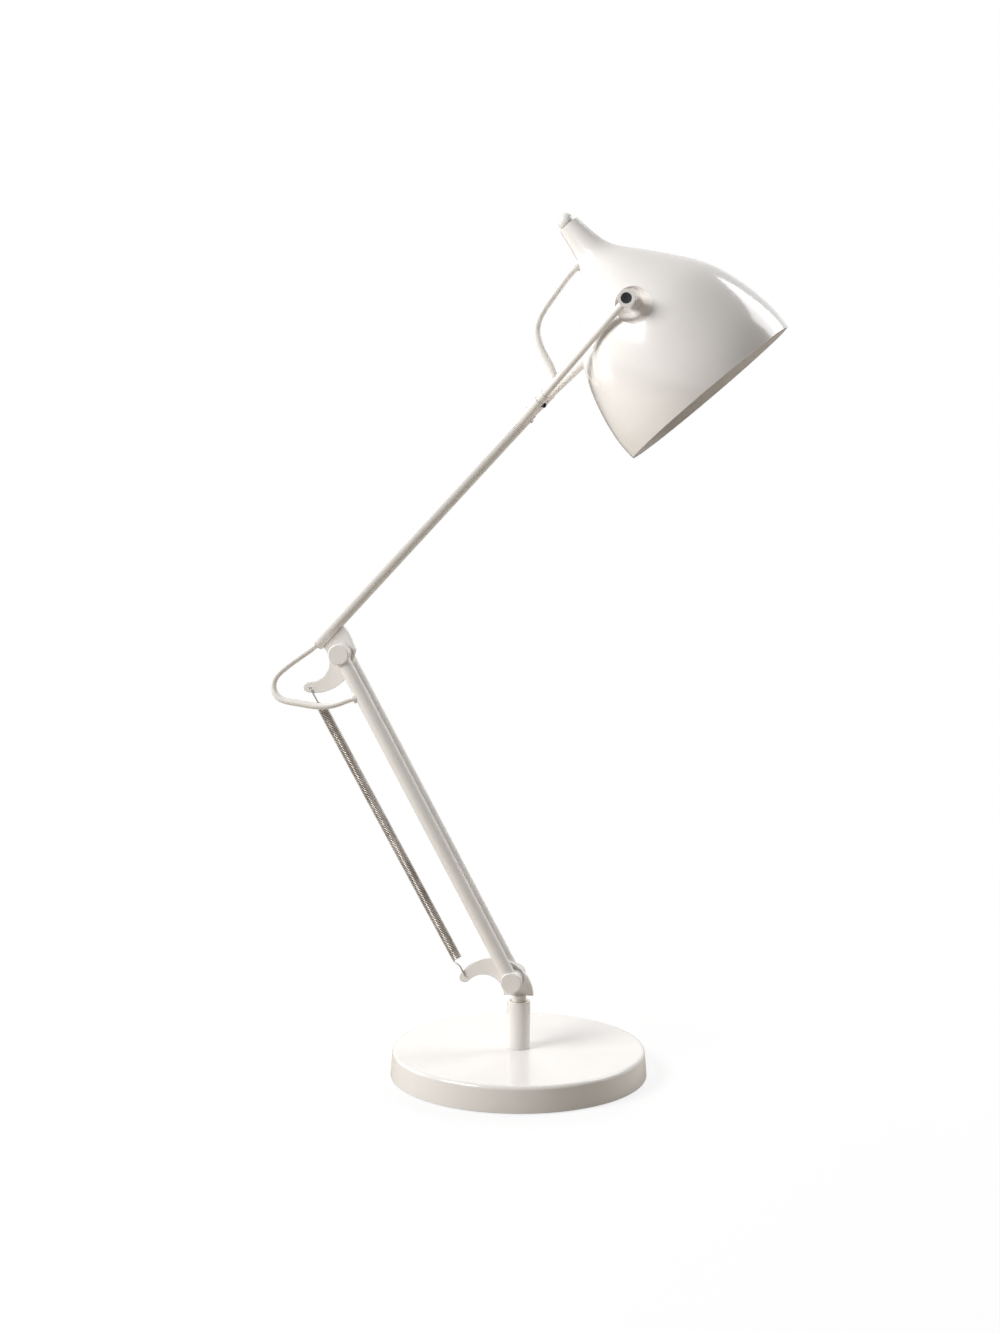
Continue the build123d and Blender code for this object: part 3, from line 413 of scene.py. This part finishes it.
def hook(start, direction, lead):
    """Return the wire from the tail behind a plate, round the bend and along to the coil."""
    wire = [start - FRONT * HOOK_TAIL, start, start + FRONT * (HOOK_FRONT - HOOK_BEND)]
    for step in range(1, BEND_STEPS + 1):
        turn = math.radians(90 * step / BEND_STEPS)
        across = HOOK_FRONT - HOOK_BEND + HOOK_BEND * math.sin(turn)
        wire.append(start + FRONT * across + direction * HOOK_BEND * (1 - math.cos(turn)))
    straight = lead - TURN_IN
    wire.append(start + FRONT * HOOK_FRONT + direction * straight * TURN_IN_SHARE)
    wire.append(start + FRONT * HOOK_FRONT + direction * straight)
    return wire


coil = []
coil_length = spring_length - LOWER_LEAD - UPPER_LEAD
first_angle = math.radians(FIRST_DEGREES)
last_angle = math.radians(360 * SPRING_TURNS + LAST_DEGREES)
coil_steps = SPRING_TURNS * TURN_STEPS
for step in range(coil_steps + 1):
    share = step / coil_steps
    angle = first_angle + (last_angle - first_angle) * share
    across = spring_side * math.cos(angle) + FRONT * math.sin(angle)
    height = LOWER_LEAD + coil_length * share
    coil.append(lower_hook + across * SPRING_RADIUS + spring_axis * height)

middle = len(coil) // 2
lower_wire = hook(lower_hook, spring_axis, LOWER_LEAD) + coil[: middle + 1]
upper_wire = coil[middle:] + list(reversed(hook(upper_hook, -spring_axis, UPPER_LEAD)))
lower_bend_end = lower_hook + spring_axis * BLEND_REACH
upper_bend_start = upper_hook - spring_axis * BLEND_REACH
for name, wire, bodies, start, end in (
    ("spring_lower", lower_wire, ("swivel", "lower_arm"), lower_hook, lower_bend_end),
    ("spring_upper", upper_wire, ("lower_arm", "upper_arm"), upper_bend_start, upper_hook),
):
    spring = tube(name, wire, WIRE_RADIUS, WIRE_SIDES, spring_steel)
    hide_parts("tension_spring")
    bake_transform(spring)

# Floor, light and background
FLOOR_SIZE = 12
FLOOR_BOUNCE = (0.52, 0.485, 0.43)
FLOOR_SEEN = (0.95, 0.95, 0.95)
SHADOW_NEAR = 0.2
SHADOW_FAR = 0.9
SHADOW_WHITENESS = 0.8
SKY_COLOUR = (1, 0.95, 0.9)
SKY_STRENGTH = 0.1


def ray_share(tree, *names):
    """Return a socket that is one for the named kinds of ray."""
    rays = tree.nodes.new("ShaderNodeLightPath")
    share = rays.outputs[names[0]]
    for name in names[1:]:
        either = tree.nodes.new("ShaderNodeMath")
        either.operation = "MAXIMUM"
        tree.links.new(share, either.inputs[0])
        tree.links.new(rays.outputs[name], either.inputs[1])
        share = either.outputs[0]
    return share


def mixed(tree, share, first, second):
    """Return the mix of two shaders."""
    mix = tree.nodes.new("ShaderNodeMixShader")
    tree.links.new(share, mix.inputs[0])
    tree.links.new(first, mix.inputs[1])
    tree.links.new(second, mix.inputs[2])
    return mix.outputs[0]


def floor_material():
    """Return a pale floor that keeps the part's shadow and turns white away from it."""
    material, tree, shader = new_material("floor")
    shader.inputs["Base Color"].default_value = (*FLOOR_BOUNCE, 1)
    shader.inputs["Roughness"].default_value = 0.9
    shader.inputs["Specular IOR Level"].default_value = 0.0
    pale = tree.nodes.new("ShaderNodeBsdfDiffuse")
    pale.inputs["Color"].default_value = (*FLOOR_SEEN, 1)
    glow = tree.nodes.new("ShaderNodeEmission")
    place = tree.nodes.new("ShaderNodeTexCoord")
    distance = tree.nodes.new("ShaderNodeVectorMath")
    distance.operation = "LENGTH"
    tree.links.new(place.outputs["Object"], distance.inputs[0])
    fade = tree.nodes.new("ShaderNodeMapRange")
    fade.inputs["From Min"].default_value = SHADOW_NEAR
    fade.inputs["From Max"].default_value = SHADOW_FAR
    fade.inputs["To Min"].default_value = SHADOW_WHITENESS
    fade.inputs["To Max"].default_value = 1.0
    tree.links.new(distance.outputs["Value"], fade.inputs["Value"])
    seen = mixed(tree, fade.outputs["Result"], pale.outputs[0], glow.outputs[0])
    share = ray_share(tree, "Is Camera Ray", "Is Transmission Ray")
    surface = mixed(tree, share, shader.outputs[0], seen)
    tree.links.new(surface, tree.nodes["Material Output"].inputs["Surface"])
    return material


bpy.ops.mesh.primitive_plane_add(size=FLOOR_SIZE, location=(0, 0, 0))
floor = bpy.context.object
floor.name = "floor"
floor.data.materials.append(floor_material())

world = bpy.data.worlds.new("world")
scene.world = world
world.use_nodes = True
sky = world.node_tree
dim = sky.nodes["Background"]
dim.inputs["Color"].default_value = (*SKY_COLOUR, 1)
dim.inputs["Strength"].default_value = SKY_STRENGTH
white = sky.nodes.new("ShaderNodeBackground")
white.inputs["Color"].default_value = (1, 1, 1, 1)
seen_share = ray_share(sky, "Is Camera Ray", "Is Glossy Ray", "Is Transmission Ray")
background = mixed(sky, seen_share, dim.outputs[0], white.outputs[0])
sky.links.new(background, sky.nodes["World Output"].inputs["Surface"])


def softbox(name, place, aim, width, height, watts, mirrored=True):
    """Add a rectangular area lamp that faces a point, seen in gloss or not."""
    data = bpy.data.lights.new(name, "AREA")
    data.shape = "RECTANGLE"
    data.size = width
    data.size_y = height
    data.energy = watts
    lamp = bpy.data.objects.new(name, data)
    lamp.location = place
    lamp.rotation_mode = "QUATERNION"
    lamp.rotation_quaternion = (Vector(aim) - Vector(place)).to_track_quat("-Z", "Y")
    lamp.visible_glossy = mirrored
    scene.collection.objects.link(lamp)


softbox("key", (-1.16, -0.76, 1.34), aim=(0.08, -0.06, 0.5), width=0.86, height=0.66, watts=30)
softbox("back", (1.17, 0.85, 1.5), aim=(0.15, 0, 0.5), width=1.0, height=0.85, watts=12)
softbox("left", (-1.7, 0.5, 0.6), aim=(0, 0, 0.35), width=1.2, height=1.2, watts=9)
softbox("right", (1.5, 0.9, 0.5), aim=(0, 0, 0.2), width=0.8, height=0.6, watts=7, mirrored=False)
softbox("rear", (0, 1.9, 0.9), aim=(0, 0, 0.3), width=1.6, height=1.2, watts=24, mirrored=False)
